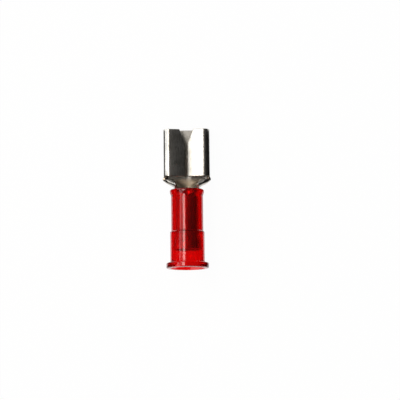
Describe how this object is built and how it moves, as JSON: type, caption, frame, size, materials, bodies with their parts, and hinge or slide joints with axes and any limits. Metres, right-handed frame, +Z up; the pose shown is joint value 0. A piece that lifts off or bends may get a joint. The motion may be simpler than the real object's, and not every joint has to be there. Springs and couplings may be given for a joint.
{
  "type": "female spade terminal",
  "caption": "Push-on female spade terminal with a rolled, tin-plated receptacle for a flat tab and a red nylon insulating sleeve with a funnel wire entry.",
  "frame": {"origin": "under the middle of the terminal's box, on the surface that it lies on", "axes": "+Z up, +Y along the terminal towards the mouth, +X across the receptacle. The barrel's axis dips 2.7 degrees towards the mouth, because the terminal lies on its flange and on the lower edge of its mouth"},
  "size_m": [0.008, 0.0232, 0.0069],
  "materials": {
    "tinned_sheet": "tin-plated brass sheet, bright",
    "tinned_tube": "tin-plated brass tube, bright",
    "red_nylon": "translucent red nylon, moulded and glossy"
  },
  "bodies": {
    "root": {"contact": "tinned_sheet", "crimp_sleeve": "tinned_tube", "insulating_sleeve": "red_nylon"}
  },
  "joints": []
}
